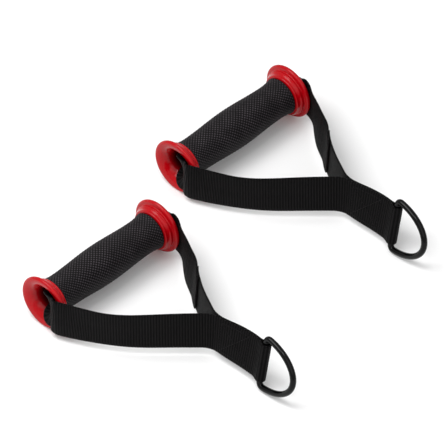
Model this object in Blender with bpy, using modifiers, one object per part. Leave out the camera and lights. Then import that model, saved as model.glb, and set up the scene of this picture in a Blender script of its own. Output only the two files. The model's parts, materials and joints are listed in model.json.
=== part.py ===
"""A pair of stirrup handles for a pulley, cable or resistance band.

Each handle is a grip (core tube, rubber sleeve and two trumpet flanges) that turns on a webbing
yoke. The yoke's strap runs through the tube, round both flanges, and its two legs meet in a
doubled tail that is looped round the bar of a D-ring.

In each handle's own frame X runs along the grip, the ring lies towards -Y, Z is up, and the
origin is on the floor under the middle of the grip. The pair is placed so that the middle of
its footprint is the world's origin. Lengths are in metres.
"""
import math

import bmesh
import bpy
import numpy as np
from mathutils import Matrix, Vector

MM = 0.001

# The pair
FAR_HANDLE_SHIFT = Vector((207.8, 42.2, 0.0)) * MM
PIECE_GAP = 0.3 * MM
LAP_GAP = 0.4 * MM

# Grip
GRIP_LENGTH = 145.0 * MM
TUBE_BORE_RADIUS = 12.2 * MM
TUBE_WALL = 1.2 * MM
SLEEVE_BARREL_RADIUS = 18.2 * MM
SLEEVE_NECK_RADIUS = 16.2 * MM
SLEEVE_FLARE_RADIUS = 18.2 * MM
SLEEVE_NECK_FROM_END = 12.5 * MM

# Flanges
LIP_RADIUS = 26.0 * MM
LIP_THICKNESS = 4.4 * MM
COLLAR_RADIUS = 20.6 * MM
COLLAR_LENGTH = 7.0 * MM
COLLAR_STEP = 1.0 * MM
COLLAR_CHAMFER = 0.6 * MM
COLLAR_STEP_FROM = 0.4
COLLAR_STEP_TO = 0.5
SPIGOT_WALL = 1.0 * MM
SPIGOT_LENGTH = 12.0 * MM
FUNNEL_LENGTH = 18.0 * MM

# Webbing
WEB_WIDTH = 38.0 * MM
WEB_THICKNESS = 1.8 * MM
WEB_TUBE_END_FROM_LIP = 22.5 * MM
CURL_OPENS_BEFORE_LIP = 14.5 * MM
CURL_ENDS_PAST_LIP = 2.0 * MM
CURL_OPENING = 2.8
CURL_WITHIN_TUBE_RADII = 1.5
FUNNEL_POINTS = [(-12.5, 0.0), (-4.5, 0.45), (1.1, 1.65)]

# Tail and ring
TAIL_LENGTH = 51.0 * MM
TAIL_LEAN = math.radians(12.0)
TAIL_YAW = math.radians(1.8)
TAIL_HINGE_FROM_LEGS = 2.0 * MM
RING_WIRE_RADIUS = 2.85 * MM
RING_HALF_BAR = 25.0 * MM
RING_DEPTH = 39.5 * MM
RING_CORNER_RADIUS = 4.0 * MM
RING_SWING = math.radians(-7.0)
LOOP_CLEARANCE = 0.35 * MM
LOOP_NECK_LENGTH = 9.5 * MM
LOOP_ROUND_FROM_DEG = -25.0
RING_OFF_FLOOR = 0.1 * MM

# Stitching
THREAD_WIDTH = 1.0 * MM
THREAD_HEIGHT = 0.4 * MM
BOX_STITCH_SIDE = 31.0 * MM
BOX_STITCH_FROM_TAIL_END = 1.5 * MM
LAP_STITCH_LENGTH = 7.0 * MM
LAP_STITCH_AT = 0.14
LAP_STITCH_IN_FROM_EDGE = 3.0 * MM

# Facets
TURN_STEPS = 32
WIRE_STEP = 2.6 * MM
FACE_STEP = 0.01
FLANGE_ARC_STEPS = 6
SLEEVE_STEPS = 16
ROUTE_SAMPLES = 1200
LOOP_SAMPLES = 60
TANGENT_STEP = 0.002
# Facets along and across each stretch of the strap
TUBE_WEB_FACETS = (2, 14)
LEFT_LEG_FACETS = (44, 10)
RIGHT_LEG_FACETS = (42, 10)
LAP_LEG_FACETS = (16, 2)
LOOP_FACETS = (28, 2)

# Radii and places that follow from the sizes above
AXIS_HEIGHT = LIP_RADIUS
TUBE_OUTER_RADIUS = TUBE_BORE_RADIUS + TUBE_WALL
SPIGOT_RADIUS = TUBE_BORE_RADIUS - PIECE_GAP
STRAP_BORE_RADIUS = SPIGOT_RADIUS - SPIGOT_WALL
WEB_TUBE_RADIUS = STRAP_BORE_RADIUS - PIECE_GAP - WEB_THICKNESS / 2.0
FLANGE_DEPTH = LIP_THICKNESS + COLLAR_LENGTH
SLEEVE_HALF_LENGTH = GRIP_LENGTH / 2.0 - FLANGE_DEPTH - PIECE_GAP
LIP_END = GRIP_LENGTH / 2.0
PLY_OFFSET = (WEB_THICKNESS + PIECE_GAP) / 2.0
LOOP_RADIUS = RING_WIRE_RADIUS + LOOP_CLEARANCE + WEB_THICKNESS / 2.0
BAR_HEIGHT = RING_HALF_BAR * math.cos(TAIL_LEAN) + RING_WIRE_RADIUS + RING_OFF_FLOOR
LEG_END_RISE = BAR_HEIGHT - AXIS_HEIGHT
BOX_STITCH_FROM_BAR = TAIL_LENGTH - BOX_STITCH_FROM_TAIL_END - BOX_STITCH_SIDE / 2.0
WEB_IN_TUBE_HALF_LENGTH = LIP_END - WEB_TUBE_END_FROM_LIP

# Where the strap runs, seen from above, in a handle's frame with the ring towards -Y.
# In the funnel a point of FUNNEL_POINTS is (millimetres past the lip's face, below the curl's
# radius); round the lip it is (millimetres past the lip's face, outside the lip's radius).
LEFT_ROUND_LIP = [(4.9, -11.4), (4.7, -6.8), (2.3, -0.8), (-1.9, 10.2)]
RIGHT_ROUND_LIP = [(4.7, -11.8), (4.5, -7.4), (2.1, -1.0), (-9.9, 15.0)]
# On the way to the tail a point is (share of half the grip's length, distance from its axis).
LEFT_RUN = [(-0.762, 66.2), (-0.622, 79.4), (-0.303, 102.8), (-0.041, 121.8), (0.046, 129.8), (0.072, 135.2)]
RIGHT_RUN = [(0.690, 59.2), (0.582, 73.2)]
LAP_RUN = [(0.609, 74.6), (0.516, 82.7), (0.440, 90.2), (0.320, 102.8), (0.175, 121.0), (0.119, 129.6),
           (0.101, 135.2)]
# How far a leg's top leans towards +X, in degrees, at shares of its route.
LEFT_LEANS = [(0.25, 0.0), (0.42, -4.0), (0.62, 0.0), (1.0, 5.0)]
RIGHT_LEANS = [(0.25, 0.0), (0.36, -5.0), (0.55, 1.5), (0.75, 5.5), (1.0, 5.5)]
LAP_LEANS = [(0.0, 5.5), (0.3, 5.5), (0.5, 3.5), (1.0, 5.0)]


def clear_scene():
    """Remove whatever the scene starts with."""
    for thing in list(bpy.data.objects):
        bpy.data.objects.remove(thing, do_unlink=True)


def new_collection(name):
    """A collection for the parts, linked to the scene."""
    collection = bpy.data.collections.new(name)
    bpy.context.scene.collection.children.link(collection)
    return collection


def plain_material(name, colour, roughness, metallic=0.0, coat=0.0):
    """A Principled material with one colour."""
    material = bpy.data.materials.new(name)
    material.use_nodes = True
    shader = material.node_tree.nodes["Principled BSDF"]
    shader.inputs["Base Color"].default_value = (*colour, 1.0)
    shader.inputs["Roughness"].default_value = roughness
    shader.inputs["Metallic"].default_value = metallic
    shader.inputs["Coat Weight"].default_value = coat
    return material


def red_plastic(name):
    return plain_material(name, (0.60, 0.012, 0.024), 0.22, coat=0.4)


def grip_rubber(name):
    return plain_material(name, (0.030, 0.026, 0.028), 0.62)


def tube_plastic(name):
    return plain_material(name, (0.018, 0.018, 0.020), 0.45)


def black_webbing(name):
    return plain_material(name, (0.006, 0.005, 0.006), 0.80)


def black_thread(name):
    return plain_material(name, (0.012, 0.011, 0.012), 0.60)


def coated_steel(name):
    return plain_material(name, (0.006, 0.006, 0.007), 0.18, metallic=0.6, coat=0.6)


def add_empty(name, collection, parent, matrix):
    """An empty that holds a frame; its matrix is given in its parent's frame."""
    empty = bpy.data.objects.new(name, None)
    collection.objects.link(empty)
    empty.empty_display_size = 0.01
    empty.parent = parent
    empty.matrix_local = matrix
    return empty


def add_object(name, data, material, collection):
    """An object named like its node, with its own material."""
    piece = bpy.data.objects.new(name, data)
    data.materials.append(material)
    collection.objects.link(piece)
    return piece


def turned(name, profile, material, collection):
    """A turned piece: a closed profile of (radius, height) spun round Z.

    The profile runs down the outer side and back up the inner side.
    """
    mesh = bpy.data.meshes.new(name)
    shape = bmesh.new()
    corners = [shape.verts.new((radius, 0.0, height)) for radius, height in profile]
    for first, second in zip(corners, corners[1:] + corners[:1]):
        shape.edges.new((first, second))
    shape.to_mesh(mesh)
    shape.free()
    piece = add_object(name, mesh, material, collection)
    screw = piece.modifiers.new("Turn", "SCREW")
    screw.axis = "Z"
    screw.angle = 2.0 * math.pi
    screw.steps = TURN_STEPS
    screw.render_steps = TURN_STEPS
    screw.use_merge_vertices = True
    screw.merge_threshold = 0.00001
    screw.use_smooth_shade = True
    return piece


def smooth_route(corners):
    """A natural cubic through the corners, as dense points and their share of the length."""
    points = np.array(corners, dtype=float)
    chord = np.concatenate([[0.0], np.cumsum(np.linalg.norm(np.diff(points, axis=0), axis=1))])
    step = np.diff(chord)
    count = len(points)
    system = np.eye(count)
    pull = np.zeros((count, points.shape[1]))
    for row in range(1, count - 1):
        system[row, row - 1] = step[row - 1]
        system[row, row] = 2.0 * (step[row - 1] + step[row])
        system[row, row + 1] = step[row]
        after = (points[row + 1] - points[row]) / step[row]
        before = (points[row] - points[row - 1]) / step[row - 1]
        pull[row] = 6.0 * (after - before)
    bend = np.linalg.solve(system, pull)
    where = np.linspace(0.0, chord[-1], ROUTE_SAMPLES)
    span = np.clip(np.searchsorted(chord, where, side="right") - 1, 0, count - 2)
    width = step[span][:, None]
    left = (chord[span + 1] - where)[:, None]
    right = (where - chord[span])[:, None]
    dense = (bend[span] * left ** 3 + bend[span + 1] * right ** 3) / (6.0 * width)
    dense += (points[span] / width - bend[span] * width / 6.0) * left
    dense += (points[span + 1] / width - bend[span + 1] * width / 6.0) * right
    length = np.concatenate([[0.0], np.cumsum(np.linalg.norm(np.diff(dense, axis=0), axis=1))])
    return dense, length / length[-1]


def ribbon(name, surface, facets, material, collection):
    """A strap: a grid laid on surface(u, v), u and v from 0 to 1, with the webbing's thickness."""
    mesh = bpy.data.meshes.new(name)
    shape = bmesh.new()
    bmesh.ops.create_grid(shape, x_segments=facets[0], y_segments=facets[1], size=0.5)
    for corner in shape.verts:
        corner.co = surface(corner.co.x + 0.5, corner.co.y + 0.5)
    shape.to_mesh(mesh)
    shape.free()
    piece = add_object(name, mesh, material, collection)
    skin = piece.modifiers.new("Thickness", "SOLIDIFY")
    skin.thickness = WEB_THICKNESS
    skin.offset = 0.0
    skin.use_even_offset = True
    return piece


def flange_profile():
    """The trumpet flange about its axis; height 0 is the front of the lip, the grip is below."""
    lip_round = LIP_THICKNESS / 2.0
    lip_centre = LIP_RADIUS - lip_round
    outer = []
    for step in range(FLANGE_ARC_STEPS + 1):
        angle = math.pi * (0.5 - step / FLANGE_ARC_STEPS)
        radius = lip_centre + lip_round * math.cos(angle)
        outer.append((radius, -lip_round + lip_round * math.sin(angle)))
    wide, narrow = COLLAR_RADIUS + COLLAR_STEP, COLLAR_RADIUS - COLLAR_STEP
    outer.append((wide, -LIP_THICKNESS))
    outer.append((wide, -LIP_THICKNESS - COLLAR_STEP_FROM * COLLAR_LENGTH))
    outer.append((narrow, -LIP_THICKNESS - COLLAR_STEP_TO * COLLAR_LENGTH))
    outer.append((narrow, -FLANGE_DEPTH + COLLAR_CHAMFER))
    outer.append((narrow - COLLAR_CHAMFER, -FLANGE_DEPTH))
    outer.append((SPIGOT_RADIUS, -FLANGE_DEPTH))
    outer.append((SPIGOT_RADIUS, -FLANGE_DEPTH - SPIGOT_LENGTH))
    inner = [(STRAP_BORE_RADIUS, -FLANGE_DEPTH - SPIGOT_LENGTH)]
    mouth = lip_centre - STRAP_BORE_RADIUS
    for step in range(FLANGE_ARC_STEPS + 1):
        angle = math.pi / 2.0 * step / FLANGE_ARC_STEPS
        radius = STRAP_BORE_RADIUS + mouth * (1.0 - math.cos(angle))
        inner.append((radius, -FUNNEL_LENGTH * (1.0 - math.sin(angle))))
    return outer + inner[:-1]


def sleeve_radius(along):
    """The sleeve's outer radius at a distance from the grip's middle: barrel, neck and flare."""
    neck_at = SLEEVE_HALF_LENGTH - SLEEVE_NECK_FROM_END
    if abs(along) < neck_at:
        swell = math.cos(math.pi / 2.0 * along / neck_at) ** 2
        return SLEEVE_NECK_RADIUS + (SLEEVE_BARREL_RADIUS - SLEEVE_NECK_RADIUS) * swell
    flare = (abs(along) - neck_at) / SLEEVE_NECK_FROM_END
    return SLEEVE_NECK_RADIUS + (SLEEVE_FLARE_RADIUS - SLEEVE_NECK_RADIUS) * flare ** 2


def sleeve_profile():
    """The rubber sleeve about its axis, from its top end down and back up its bore."""
    outer = []
    for step in range(SLEEVE_STEPS + 1):
        height = SLEEVE_HALF_LENGTH * math.cos(math.pi * step / SLEEVE_STEPS)
        outer.append((sleeve_radius(height), height))
    bore = TUBE_OUTER_RADIUS + PIECE_GAP
    return outer + [(bore, -SLEEVE_HALF_LENGTH), (bore, SLEEVE_HALF_LENGTH)]


def tube_profile():
    """The core tube, which ends on the flanges' shoulders."""
    outer, inner, half = TUBE_OUTER_RADIUS, TUBE_BORE_RADIUS, SLEEVE_HALF_LENGTH
    return [(outer, half), (outer, -half), (inner, -half), (inner, half)]


def leg_route(side, round_lip, run):
    """A leg's route from the tube's end, through the funnel and round the lip, to its last point."""
    start = WEB_IN_TUBE_HALF_LENGTH + PIECE_GAP
    points = [(side * start, -WEB_TUBE_RADIUS)]
    for past, below in FUNNEL_POINTS:
        points.append((side * (LIP_END + past * MM), -WEB_TUBE_RADIUS - below * MM))
    for past, outside in round_lip:
        points.append((side * (LIP_END + past * MM), -LIP_RADIUS - outside * MM))
    return points + run_points(run)


def run_points(run):
    """The free stretch of a route in metres."""
    return [(share * LIP_END, -away * MM) for share, away in run]


def right_leg_route():
    """The right leg's route, which ends against the inner face of the lapped leg."""
    lap = [Vector(point) for point in run_points(LAP_RUN)]
    ends = []
    for number in (1, 2):
        run = (lap[number + 1] - lap[number - 1]).normalized()
        inward = Vector((run.y, -run.x))
        ends.append(tuple(lap[number] + inward * (WEB_THICKNESS + LAP_GAP)))
    return leg_route(1.0, RIGHT_ROUND_LIP, RIGHT_RUN) + ends


def leg_surface(route, leans):
    """The surface of one leg: its route seen from above, its width upright but for its leans.

    In the tube the strap is curled to the bore. The curl opens in the funnel, and past the lip
    the strap is flat.
    """
    dense, share = smooth_route(route)
    lean_shares, lean_degrees = np.transpose(leans)
    curl_from = LIP_END - CURL_OPENS_BEFORE_LIP
    curl_end = LIP_END + CURL_ENDS_PAST_LIP

    def point(along):
        return Vector([np.interp(along, share, dense[:, axis]) for axis in (0, 1)] + [0.0])

    def surface(along, across):
        centre = point(along)
        centre.z = AXIS_HEIGHT + LEG_END_RISE * along
        tangent = point(min(along + TANGENT_STEP, 1.0)) - point(max(along - TANGENT_STEP, 0.0))
        tangent.normalize()
        lean = math.radians(np.interp(along, lean_shares, lean_degrees))
        up = Vector((math.sin(lean), 0.0, math.cos(lean)))
        up = (up - tangent * up.dot(tangent)).normalized()
        reach = (across - 0.5) * WEB_WIDTH
        opened = (abs(centre.x) - curl_from) / (curl_end - curl_from)
        in_mouth = centre.y > -CURL_WITHIN_TUBE_RADII * WEB_TUBE_RADIUS and opened < 1.0
        if not in_mouth:
            return centre + up * reach
        curl = (1.0 - max(opened, 0.0) ** CURL_OPENING) / WEB_TUBE_RADIUS
        lift = Vector((0.0, (1.0 - math.cos(curl * reach)) / curl, 0.0))
        return centre + up * (math.sin(curl * reach) / curl) + lift

    return surface


def tube_web_surface(along, across):
    """The strap inside the tube, curled to the bore on the ring's side."""
    angle = (across - 0.5) * WEB_WIDTH / WEB_TUBE_RADIUS
    x = (2.0 * along - 1.0) * WEB_IN_TUBE_HALF_LENGTH
    y = -WEB_TUBE_RADIUS * math.cos(angle)
    return Vector((x, y, AXIS_HEIGHT + WEB_TUBE_RADIUS * math.sin(angle)))


def loop_route():
    """Half of the strap's turn round the bar in the tail's frame, from its ply to the far side."""
    meet = math.radians(LOOP_ROUND_FROM_DEG)
    start = np.array((-PLY_OFFSET, LOOP_NECK_LENGTH))
    touch = LOOP_RADIUS * np.array((-math.cos(meet), -math.sin(meet)))
    pull = np.linalg.norm(start - touch)
    leave = np.array((0.0, -1.0)) * pull
    arrive = np.array((math.sin(meet), -math.cos(meet))) * pull
    t = np.linspace(0.0, 1.0, LOOP_SAMPLES)[:, None]
    neck = start * (2 * t ** 3 - 3 * t ** 2 + 1) + leave * (t ** 3 - 2 * t ** 2 + t)
    neck += touch * (3 * t ** 2 - 2 * t ** 3) + arrive * (t ** 3 - t ** 2)
    turn = np.linspace(meet, math.pi / 2.0, LOOP_SAMPLES)[1:]
    round_part = -LOOP_RADIUS * np.stack([np.cos(turn), np.sin(turn)], axis=1)
    return np.concatenate([neck, round_part])


def loop_surface():
    """The surface of the loop: its half route, mirrored, carried along the bar."""
    half = loop_route()
    dense = np.concatenate([half, half[-2::-1] * (-1.0, 1.0)])
    length = np.concatenate([[0.0], np.cumsum(np.linalg.norm(np.diff(dense, axis=0), axis=1))])
    share = length / length[-1]

    def surface(along, across):
        x = np.interp(along, share, dense[:, 0])
        y = np.interp(along, share, dense[:, 1])
        return Vector((x, y, (across - 0.5) * WEB_WIDTH))

    return surface


def slab(name, size, middle, material, collection):
    """A box of the given size, its mesh placed at its middle."""
    mesh = bpy.data.meshes.new(name)
    shape = bmesh.new()
    place = Matrix.Translation(middle) @ Matrix.Diagonal((*size, 1.0))
    bmesh.ops.create_cube(shape, size=1.0, matrix=place)
    shape.to_mesh(mesh)
    shape.free()
    return add_object(name, mesh, material, collection)


def stitch_frame(name, length, height, crossed, material, collection):
    """Thread on a strap's face: a rectangle, with its diagonals if crossed, as a flat outline."""
    outline = bpy.data.curves.new(name, "CURVE")
    outline.dimensions = "2D"
    outline.fill_mode = "BOTH"
    outline.extrude = THREAD_HEIGHT / 2.0
    half_length, half_height = length / 2.0, height / 2.0
    in_length, in_height = half_length - THREAD_WIDTH, half_height - THREAD_WIDTH
    rings = [[(-half_length, -half_height), (half_length, -half_height),
              (half_length, half_height), (-half_length, half_height)]]
    if crossed:
        cut = THREAD_WIDTH / math.sqrt(2.0)
        rings.append([(-in_length + cut, in_height), (in_length - cut, in_height), (0.0, cut)])
        rings.append([(-in_length + cut, -in_height), (in_length - cut, -in_height), (0.0, -cut)])
        rings.append([(in_length, -in_height + cut), (in_length, in_height - cut), (cut, 0.0)])
        rings.append([(-in_length, -in_height + cut), (-in_length, in_height - cut), (-cut, 0.0)])
    else:
        rings.append([(-in_length, -in_height), (in_length, -in_height),
                      (in_length, in_height), (-in_length, in_height)])
    for ring in rings:
        spline = outline.splines.new("POLY")
        spline.points.add(len(ring) - 1)
        for point, corner in zip(spline.points, ring):
            point.co = (corner[0], corner[1], 0.0, 1.0)
        spline.use_cyclic_u = True
    return add_object(name, outline, material, collection)


def ring_outline():
    """The D-ring's centre line in its own frame: the bar on Z, the bow an ellipse towards -Y."""
    meet = math.asin(RING_CORNER_RADIUS / RING_DEPTH)
    corner_top = RING_HALF_BAR * math.cos(meet)
    bar_top = corner_top - RING_CORNER_RADIUS
    bar_steps = round(2.0 * bar_top / WIRE_STEP)
    bow_steps = round(math.pi * (RING_HALF_BAR + RING_DEPTH) / 2.0 / WIRE_STEP)
    points = []
    for step in range(bar_steps + 1):
        points.append((0.0, -bar_top + 2.0 * bar_top * step / bar_steps))
    for step in (1, 2):
        angle = math.radians(30.0 * step)
        drop = RING_CORNER_RADIUS * (1.0 - math.cos(angle))
        points.append((-drop, bar_top + RING_CORNER_RADIUS * math.sin(angle)))
    for step in range(bow_steps + 1):
        turn = meet + (math.pi - 2.0 * meet) * step / bow_steps
        points.append((-RING_DEPTH * math.sin(turn), RING_HALF_BAR * math.cos(turn)))
    for step in (2, 1):
        angle = math.radians(30.0 * step)
        drop = RING_CORNER_RADIUS * (1.0 - math.cos(angle))
        points.append((-drop, -bar_top - RING_CORNER_RADIUS * math.sin(angle)))
    return points


def ring_wire(name, material, collection):
    """The D-ring as a closed round wire."""
    wire = bpy.data.curves.new(name, "CURVE")
    wire.dimensions = "3D"
    wire.bevel_depth = RING_WIRE_RADIUS
    wire.bevel_resolution = 2
    outline = ring_outline()
    spline = wire.splines.new("POLY")
    spline.points.add(len(outline) - 1)
    for point, (y, z) in zip(spline.points, outline):
        point.co = (0.0, y, z, 1.0)
    spline.use_cyclic_u = True
    return add_object(name, wire, material, collection)


def hold(piece, frame, matrix=None):
    """Put a piece in a frame, at a place given in that frame."""
    piece.parent = frame
    piece.matrix_local = matrix or Matrix.Identity(4)


def build_grip(prefix, root, collection):
    """Tube, sleeve and flanges, which turn as one."""
    along_grip = Matrix.Translation((0.0, 0.0, AXIS_HEIGHT)) @ Matrix.Rotation(math.pi / 2.0, 4, "Y")
    name = prefix + "core_tube"
    hold(turned(name, tube_profile(), tube_plastic(name), collection), root, along_grip)
    name = prefix + "grip_sleeve"
    hold(turned(name, sleeve_profile(), grip_rubber(name), collection), root, along_grip)
    for side, sign in (("left", -1.0), ("right", 1.0)):
        name = prefix + side + "_flange"
        place = Matrix.Translation((sign * LIP_END, 0.0, AXIS_HEIGHT))
        place @= Matrix.Rotation(sign * math.pi / 2.0, 4, "Y")
        hold(turned(name, flange_profile(), red_plastic(name), collection), root, place)


def build_yoke(prefix, root, collection):
    """The strap's stretch in the tube, its legs, and the lapped ends on the right leg."""
    axis = Vector((0.0, 0.0, AXIS_HEIGHT))
    frame = add_empty(prefix + "yoke_axis", collection, root, Matrix.Translation(axis))
    back = Matrix.Translation(-axis)
    lap = leg_surface(run_points(LAP_RUN), LAP_LEANS)
    left = leg_surface(leg_route(-1.0, LEFT_ROUND_LIP, LEFT_RUN), LEFT_LEANS)
    right = leg_surface(right_leg_route(), RIGHT_LEANS)
    legs = (
        ("tube_webbing", tube_web_surface, TUBE_WEB_FACETS),
        ("left_leg", left, LEFT_LEG_FACETS),
        ("right_leg", right, RIGHT_LEG_FACETS),
        ("lap_leg", lap, LAP_LEG_FACETS),
    )
    for part, surface, facets in legs:
        name = prefix + part
        hold(ribbon(name, surface, facets, black_webbing(name), collection), frame, back)
    name = prefix + "lap_stitch"
    middle = lap(LAP_STITCH_AT, 0.5)
    run = (lap(LAP_STITCH_AT + FACE_STEP, 0.5) - lap(LAP_STITCH_AT - FACE_STEP, 0.5)).normalized()
    up = (lap(LAP_STITCH_AT, 1.0) - middle).normalized()
    inward = run.cross(up).normalized()
    lift = WEB_THICKNESS / 2.0 + PIECE_GAP + THREAD_HEIGHT / 2.0
    turn = Matrix((run, up, inward)).transposed()
    place = back @ Matrix.Translation(middle - inward * lift) @ turn.to_4x4()
    height = WEB_WIDTH - 2.0 * LAP_STITCH_IN_FROM_EDGE
    stitch = stitch_frame(name, LAP_STITCH_LENGTH, height, False, black_thread(name), collection)
    hold(stitch, frame, place)
    return frame


def build_tail(prefix, yoke, collection):
    """The doubled tail, its box stitches and the loop, on a flexing line where the legs meet."""
    left_end, right_end = Vector(run_points(LEFT_RUN)[-1]), Vector(run_points(LAP_RUN)[-1])
    meeting = (left_end + right_end) / 2.0
    hinge = Vector((meeting.x, meeting.y - TAIL_HINGE_FROM_LEGS, 0.0))
    flex = add_empty(prefix + "tail_axis", collection, yoke, Matrix.Translation(hinge))
    turn = Matrix.Rotation(TAIL_YAW, 4, "Z")
    bar = turn @ Vector((0.0, -TAIL_LENGTH - TAIL_HINGE_FROM_LEGS, 0.0))
    bar.z = BAR_HEIGHT - AXIS_HEIGHT
    tail_place = Matrix.Translation(bar) @ turn @ Matrix.Rotation(TAIL_LEAN, 4, "Y")
    frame = add_empty(prefix + "tail_frame", collection, flex, tail_place)
    ply_from = LOOP_NECK_LENGTH + PIECE_GAP
    ply_size = Vector((WEB_THICKNESS, TAIL_LENGTH - ply_from, WEB_WIDTH))
    for side, sign in (("left", -1.0), ("right", 1.0)):
        name = prefix + "tail_" + side + "_ply"
        middle = Vector((sign * PLY_OFFSET, (TAIL_LENGTH + ply_from) / 2.0, 0.0))
        hold(slab(name, ply_size, middle, black_webbing(name), collection), frame)
        name = prefix + "box_stitch_" + side
        stitch = stitch_frame(name, BOX_STITCH_SIDE, BOX_STITCH_SIDE, True, black_thread(name), collection)
        lift = PLY_OFFSET + WEB_THICKNESS / 2.0 + PIECE_GAP + THREAD_HEIGHT / 2.0
        place = Matrix.Translation((sign * lift, BOX_STITCH_FROM_BAR, 0.0))
        hold(stitch, frame, place @ Matrix.Rotation(math.pi / 2.0, 4, "Y"))
    name = prefix + "ring_loop"
    hold(ribbon(name, loop_surface(), LOOP_FACETS, black_webbing(name), collection), frame)
    return frame


def build_ring(prefix, tail, collection):
    """The D-ring, which swings about its bar in the loop."""
    frame = add_empty(prefix + "ring_axis", collection, tail, Matrix.Identity(4))
    name = prefix + "d_ring"
    hold(ring_wire(name, coated_steel(name), collection), frame, Matrix.Rotation(RING_SWING, 4, "Z"))


def build_handle(prefix, place, collection):
    """One whole handle."""
    root = add_empty(prefix + "handle", collection, None, Matrix.Translation(place))
    build_grip(prefix, root, collection)
    yoke = build_yoke(prefix, root, collection)
    tail = build_tail(prefix, yoke, collection)
    build_ring(prefix, tail, collection)
    return root


def centre_footprint(roots, collection):
    """Move the handles together until the pair's footprint is centred on the origin."""
    bpy.context.view_layer.update()
    depsgraph = bpy.context.evaluated_depsgraph_get()
    low, high = Vector((1e9,) * 3), Vector((-1e9,) * 3)
    for piece in collection.objects:
        if piece.type == "EMPTY":
            continue
        shown = piece.evaluated_get(depsgraph)
        mesh = shown.to_mesh()
        for corner in mesh.vertices:
            point = shown.matrix_world @ corner.co
            low = Vector(map(min, low, point))
            high = Vector(map(max, high, point))
        shown.to_mesh_clear()
    middle = (low + high) / 2.0
    for root in roots:
        root.location -= Vector((middle.x, middle.y, low.z))
    bpy.context.view_layer.update()


def main():
    clear_scene()
    collection = new_collection("stirrup_handle_pair")
    near = build_handle("near_", Vector((0.0, 0.0, 0.0)), collection)
    far = build_handle("far_", FAR_HANDLE_SHIFT, collection)
    centre_footprint((near, far), collection)


main()
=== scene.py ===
"""The finished look of a pair of stirrup handles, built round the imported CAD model.

Each handle is worked out in its own frame, with X along the grip, the ring towards -Y, and the
origin on the floor under the grip's middle. Its tail and ring are worked out in the tail's
frame: X across the webbing's thickness, Y from the ring's bar back along the tail, Z along the
bar. Every surface is a numpy grid and lands in the row's frame, in metres.
"""
import json
import math

import bpy
import numpy as np
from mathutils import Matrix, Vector


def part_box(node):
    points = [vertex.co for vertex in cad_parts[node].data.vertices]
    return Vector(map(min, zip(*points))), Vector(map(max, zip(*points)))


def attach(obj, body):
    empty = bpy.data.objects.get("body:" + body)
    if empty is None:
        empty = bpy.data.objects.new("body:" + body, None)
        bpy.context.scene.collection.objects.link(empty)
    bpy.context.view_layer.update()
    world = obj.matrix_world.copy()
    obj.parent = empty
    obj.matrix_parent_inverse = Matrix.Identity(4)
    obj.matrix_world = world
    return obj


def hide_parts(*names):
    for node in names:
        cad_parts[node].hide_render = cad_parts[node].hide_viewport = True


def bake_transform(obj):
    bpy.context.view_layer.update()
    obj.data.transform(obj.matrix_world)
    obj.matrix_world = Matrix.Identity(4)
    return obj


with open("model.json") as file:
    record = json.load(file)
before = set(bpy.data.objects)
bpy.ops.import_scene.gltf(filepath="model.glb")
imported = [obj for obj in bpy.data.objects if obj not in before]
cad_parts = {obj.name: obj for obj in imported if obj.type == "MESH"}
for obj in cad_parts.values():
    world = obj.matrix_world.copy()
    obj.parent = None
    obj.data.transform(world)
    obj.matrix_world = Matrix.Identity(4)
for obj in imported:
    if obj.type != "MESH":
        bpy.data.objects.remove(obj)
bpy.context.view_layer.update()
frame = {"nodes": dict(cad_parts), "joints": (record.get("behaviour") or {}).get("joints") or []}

MM = 0.001

# Grip
GRIP_LENGTH = 145.0 * MM
LIP_END = GRIP_LENGTH / 2.0
SLEEVE_HALF = 60.8 * MM
SLEEVE_BORE = 13.7 * MM
BARREL_RADIUS = 18.1 * MM
NECK_RADIUS = 16.2 * MM
FLARE_RADIUS = 18.0 * MM
NECK_FROM_END = 12.5 * MM
KNURL_HEIGHT = 0.55 * MM
KNURL_LENGTH_PITCH = 3.4 * MM
KNURL_ROUND = 34
KNURL_FADE = 1.6 * MM
KNURL_SUNK_SHARE = 0.4
SLEEVE_EDGE = 0.5 * MM
SLEEVE_ROWS, SLEEVE_COLUMNS = 300, 288

# Flange
LIP_RADIUS = 26.0 * MM
LIP_ROUND = 2.2 * MM
MOUTH_RADIUS = 23.8 * MM
BORE_RADIUS = 10.9 * MM
FUNNEL_LENGTH = 18.0 * MM
SPIGOT_RADIUS = 11.9 * MM
SPIGOT_END = 23.4 * MM
COLLAR_BACK = 11.4 * MM
COLLAR_FOOT = 17.6 * MM
# The rounds on the flange's back: (centre as radius and depth, radius of the round).
GROOVE = ((22.6 * MM, -5.1 * MM), 0.7 * MM)
BEAD = ((21.0 * MM, -6.6 * MM), 0.9 * MM)
COLLAR = ((18.6 * MM, -10.2 * MM), 1.2 * MM)
FUNNEL_SWEEP = 88.0
FUNNEL_POINTS = 40
FLANGE_COLUMNS = 160
# Painted shade darkens the funnel's colour between these depths below the lip's face.
FUNNEL_SHADE_FROM, FUNNEL_SHADE_FULL = -3.0 * MM, -13.0 * MM

# Strap
WEB_WIDTH = 38.0 * MM
WEB_THICKNESS = 1.8 * MM
WEB_TUBE_RADIUS = 9.7 * MM
CURL_FROM = LIP_END - 14.5 * MM
CURL_END = LIP_END + 2.0 * MM
CURL_OPENING = 2.8
CURL_WITHIN_TUBE_RADII = 1.5
NEARLY_FLAT = 1e-6
STRAP_STEP = 0.30 * MM
RIB_PITCH = 2.5 * MM
RIB_HEIGHT = 0.30 * MM
RIB_ROUNDNESS = 0.6
YARN_PITCH = 1.3 * MM
WARP_PITCH = 1.9 * MM
WARP_HEIGHT = 0.05 * MM
STRAP_COLUMNS = 22
EDGE_CROWDING = 0.4
SELVEDGE_SHARE = 0.55
SELVEDGE_BAND = 2.2 * MM
END_ROUND = 4.5 * MM
END_ROUND_REACH = 11.0 * MM
PLY_OFFSET = 1.05 * MM
TUBE_STRAP_REACH = 59.5 * MM
TUBE_STRAP_GAP = 0.3 * MM
TUBE_STRAP_POINTS = 160
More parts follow.
